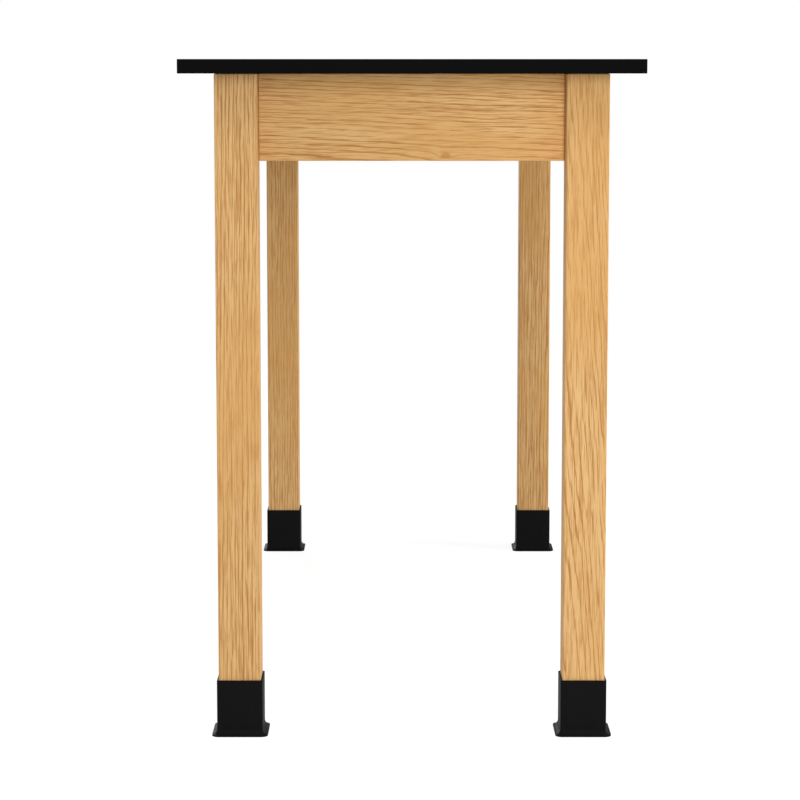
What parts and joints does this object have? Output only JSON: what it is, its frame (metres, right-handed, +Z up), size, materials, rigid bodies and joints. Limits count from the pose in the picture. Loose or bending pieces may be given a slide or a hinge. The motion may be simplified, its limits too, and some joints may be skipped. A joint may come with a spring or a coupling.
{
  "type": "laboratory table",
  "caption": "Laboratory table with a black slab top, square oak legs joined by set-back aprons, coved leg shoes and screw levelling glides.",
  "frame": {"origin": "on the floor, under the middle of the top", "axes": "+Z up, +Y along the table's length from its front end to its back end, +X to the right seen from the front end"},
  "size_m": [0.6096, 1.524, 0.9065],
  "materials": {
    "black_slab": "satin black phenolic resin slab",
    "oak": "clear satin lacquer on red oak",
    "black_vinyl": "satin black pliable vinyl",
    "zinc_plated_steel": "bright zinc plate",
    "black_nylon": "moulded black nylon"
  },
  "bodies": {
    "table": {"table_top": "black_slab", "leg_front_left": "oak", "corner_brace_front_left": "zinc_plated_steel", "hanger_bolt_front_left_lower": "zinc_plated_steel", "flange_nut_front_left_lower": "zinc_plated_steel", "hanger_bolt_front_left_upper": "zinc_plated_steel", "flange_nut_front_left_upper": "zinc_plated_steel", "threaded_insert_front_left": "zinc_plated_steel", "leg_front_right": "oak", "corner_brace_front_right": "zinc_plated_steel", "hanger_bolt_front_right_lower": "zinc_plated_steel", "flange_nut_front_right_lower": "zinc_plated_steel", "hanger_bolt_front_right_upper": "zinc_plated_steel", "flange_nut_front_right_upper": "zinc_plated_steel", "threaded_insert_front_right": "zinc_plated_steel", "leg_back_right": "oak", "corner_brace_back_right": "zinc_plated_steel", "hanger_bolt_back_right_lower": "zinc_plated_steel", "flange_nut_back_right_lower": "zinc_plated_steel", "hanger_bolt_back_right_upper": "zinc_plated_steel", "flange_nut_back_right_upper": "zinc_plated_steel", "threaded_insert_back_right": "zinc_plated_steel", "leg_back_left": "oak", "corner_brace_back_left": "zinc_plated_steel", "hanger_bolt_back_left_lower": "zinc_plated_steel", "flange_nut_back_left_lower": "zinc_plated_steel", "hanger_bolt_back_left_upper": "zinc_plated_steel", "flange_nut_back_left_upper": "zinc_plated_steel", "threaded_insert_back_left": "zinc_plated_steel", "end_apron_front": "oak", "end_apron_back": "oak", "side_apron_right": "oak", "side_apron_left": "oak", "cross_rail": "oak", "top_clip_left_1": "zinc_plated_steel", "top_clip_left_2": "zinc_plated_steel", "top_clip_left_3": "zinc_plated_steel", "top_clip_left_4": "zinc_plated_steel", "top_clip_right_1": "zinc_plated_steel", "top_clip_right_2": "zinc_plated_steel", "top_clip_right_3": "zinc_plated_steel", "top_clip_right_4": "zinc_plated_steel", "top_clip_front": "zinc_plated_steel", "top_clip_back": "zinc_plated_steel"},
    "shoe_front_left": {"leg_shoe_front_left": "black_vinyl"},
    "foot_front_left": {"glide_foot_front_left": "black_nylon"},
    "stem_front_left": {"glide_stem_front_left": "zinc_plated_steel"},
    "shoe_front_right": {"leg_shoe_front_right": "black_vinyl"},
    "foot_front_right": {"glide_foot_front_right": "black_nylon"},
    "stem_front_right": {"glide_stem_front_right": "zinc_plated_steel"},
    "shoe_back_right": {"leg_shoe_back_right": "black_vinyl"},
    "foot_back_right": {"glide_foot_back_right": "black_nylon"},
    "stem_back_right": {"glide_stem_back_right": "zinc_plated_steel"},
    "shoe_back_left": {"leg_shoe_back_left": "black_vinyl"},
    "foot_back_left": {"glide_foot_back_left": "black_nylon"},
    "stem_back_left": {"glide_stem_back_left": "zinc_plated_steel"}
  },
  "joints": [
    {"name": "shoe_lift_front_left", "type": "slide", "parent": "table", "child": "shoe_front_left", "axis": [0, 0, 1], "range_m": [0, 0.06]},
    {"name": "glide_travel_front_left", "type": "slide", "parent": "table", "child": "foot_front_left", "axis": [0, 0, -1], "range_m": [0, 0.0127]},
    {"name": "glide_turn_front_left", "type": "hinge", "parent": "foot_front_left", "child": "stem_front_left", "pos_m": [-0.23155, -0.69475, 0.0088], "axis": [0, 0, 1], "range_deg": [-3000, 90]},
    {"name": "shoe_lift_front_right", "type": "slide", "parent": "table", "child": "shoe_front_right", "axis": [0, 0, 1], "range_m": [0, 0.06]},
    {"name": "glide_travel_front_right", "type": "slide", "parent": "table", "child": "foot_front_right", "axis": [0, 0, -1], "range_m": [0, 0.0127]},
    {"name": "glide_turn_front_right", "type": "hinge", "parent": "foot_front_right", "child": "stem_front_right", "pos_m": [0.23155, -0.69475, 0.0088], "axis": [0, 0, 1], "range_deg": [-3000, 90]},
    {"name": "shoe_lift_back_right", "type": "slide", "parent": "table", "child": "shoe_back_right", "axis": [0, 0, 1], "range_m": [0, 0.06]},
    {"name": "glide_travel_back_right", "type": "slide", "parent": "table", "child": "foot_back_right", "axis": [0, 0, -1], "range_m": [0, 0.0127]},
    {"name": "glide_turn_back_right", "type": "hinge", "parent": "foot_back_right", "child": "stem_back_right", "pos_m": [0.23155, 0.69475, 0.0088], "axis": [0, 0, 1], "range_deg": [-3000, 90]},
    {"name": "shoe_lift_back_left", "type": "slide", "parent": "table", "child": "shoe_back_left", "axis": [0, 0, 1], "range_m": [0, 0.06]},
    {"name": "glide_travel_back_left", "type": "slide", "parent": "table", "child": "foot_back_left", "axis": [0, 0, -1], "range_m": [0, 0.0127]},
    {"name": "glide_turn_back_left", "type": "hinge", "parent": "foot_back_left", "child": "stem_back_left", "pos_m": [-0.23155, 0.69475, 0.0088], "axis": [0, 0, 1], "range_deg": [-3000, 90]}
  ],
  "couplings": [
    {"joint": "glide_turn_front_left", "follows": "glide_travel_front_left", "rad_per_m": -3957.9},
    {"joint": "glide_turn_front_right", "follows": "glide_travel_front_right", "rad_per_m": -3957.9},
    {"joint": "glide_turn_back_right", "follows": "glide_travel_back_right", "rad_per_m": -3957.9},
    {"joint": "glide_turn_back_left", "follows": "glide_travel_back_left", "rad_per_m": -3957.9}
  ]
}
